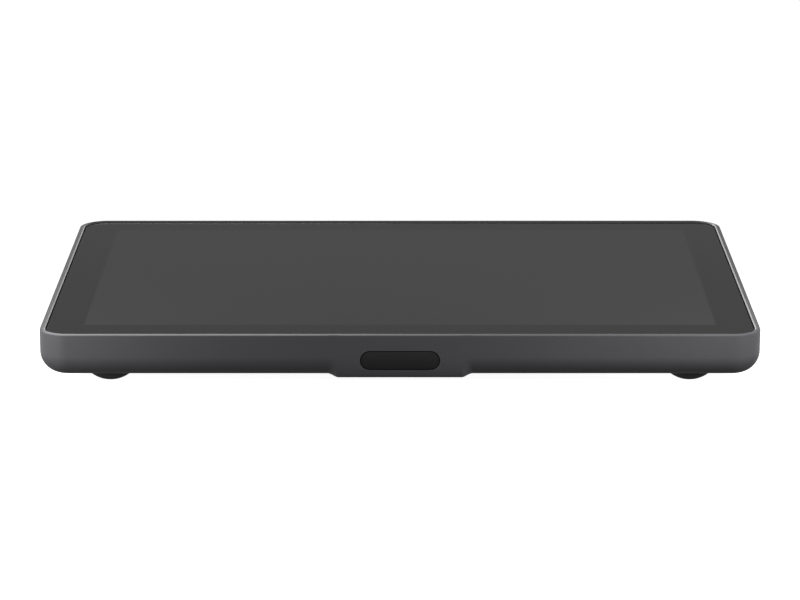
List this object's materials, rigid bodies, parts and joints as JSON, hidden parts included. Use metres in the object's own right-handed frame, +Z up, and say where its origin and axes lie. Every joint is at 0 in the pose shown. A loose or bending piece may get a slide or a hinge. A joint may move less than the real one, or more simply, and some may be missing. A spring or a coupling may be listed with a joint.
{
  "type": "smart display",
  "caption": "Low table-top smart display: a thin tilted touch screen with a presence window in its front chin, on a wedge base with a covered cable bay.",
  "frame": {"origin": "centre of the bounding box in plan, on the table surface that the feet and the base pad stand on", "axes": "+X to the right across the screen, +Y to the rear, so the front wall with the sensor window faces -Y, +Z up; the screen is tilted 14 degrees towards -Y"},
  "size_m": [0.2462, 0.162, 0.0553],
  "materials": {
    "graphite_housing": "fine satin texture, dark graphite grey",
    "cover_glass": "polished, black printed border behind the glass",
    "sensor_window": "smooth, infrared-clear black",
    "black_rubber": "matte",
    "screw_steel": "bright turned",
    "sheet_steel": "satin pressed sheet",
    "magnesium": "cast, light satin",
    "black_plastic": "fine matte",
    "optical_film": "smooth translucent white",
    "panel_glass": "smooth dark",
    "circuit_board": "solder-mask green",
    "flat_cable": "amber film",
    "thermal_pad": "soft matte"
  },
  "bodies": {
    "controller": {"antenna_left": "circuit_board", "antenna_right": "circuit_board", "backlight": "optical_film", "base_floor": "graphite_housing", "base_pad": "black_rubber", "base_screw_1": "screw_steel", "base_screw_2": "screw_steel", "base_screw_3": "screw_steel", "base_screw_4": "screw_steel", "base_shell": "graphite_housing", "board_screw_1": "screw_steel", "board_screw_2": "screw_steel", "board_screw_3": "screw_steel", "board_screw_4": "screw_steel", "cable_clamp": "black_plastic", "chassis_plate": "magnesium", "chassis_screw_1": "screw_steel", "chassis_screw_2": "screw_steel", "chassis_screw_3": "screw_steel", "chassis_screw_4": "screw_steel", "clamp_screw_1": "screw_steel", "clamp_screw_2": "screw_steel", "cover_glass": "cover_glass", "display_connector": "black_plastic", "display_flex": "flat_cable", "ethernet_jack": "sheet_steel", "floor_screw_1": "screw_steel", "floor_screw_2": "screw_steel", "floor_screw_3": "screw_steel", "floor_screw_4": "screw_steel", "front_foot_left": "black_rubber", "front_foot_right": "black_rubber", "glass_adhesive": "black_plastic", "housing_shell": "graphite_housing", "lcd_panel": "panel_glass", "light_guide": "optical_film", "light_sensor_board": "circuit_board", "lock_insert": "screw_steel", "main_board": "circuit_board", "panel_tray": "sheet_steel", "port_board": "circuit_board", "port_board_screw_1": "screw_steel", "port_board_screw_2": "screw_steel", "port_flex": "flat_cable", "presence_sensor": "black_plastic", "processor_shield": "sheet_steel", "radio_module": "sheet_steel", "reset_switch": "black_plastic", "sensor_board": "circuit_board", "sensor_flex": "flat_cable", "sensor_gasket": "black_rubber", "sensor_window": "sensor_window", "thermal_pad": "thermal_pad", "touch_connector": "black_plastic", "touch_flex": "flat_cable", "touch_sensor": "optical_film", "usb_c_port": "sheet_steel"},
    "cable_cover": {"cable_cover": "graphite_housing"},
    "reset_button": {"reset_button": "black_plastic"}
  },
  "joints": [
    {"name": "cable_cover_lift", "type": "slide", "parent": "controller", "child": "cable_cover", "axis": [0, 1, 0], "range_m": [0, 0.04]},
    {"name": "reset_press", "type": "slide", "parent": "controller", "child": "reset_button", "axis": [0, -1, 0], "range_m": [0, 0.0008], "stiffness_N_per_m": 600, "springref_m": -0.0002}
  ]
}
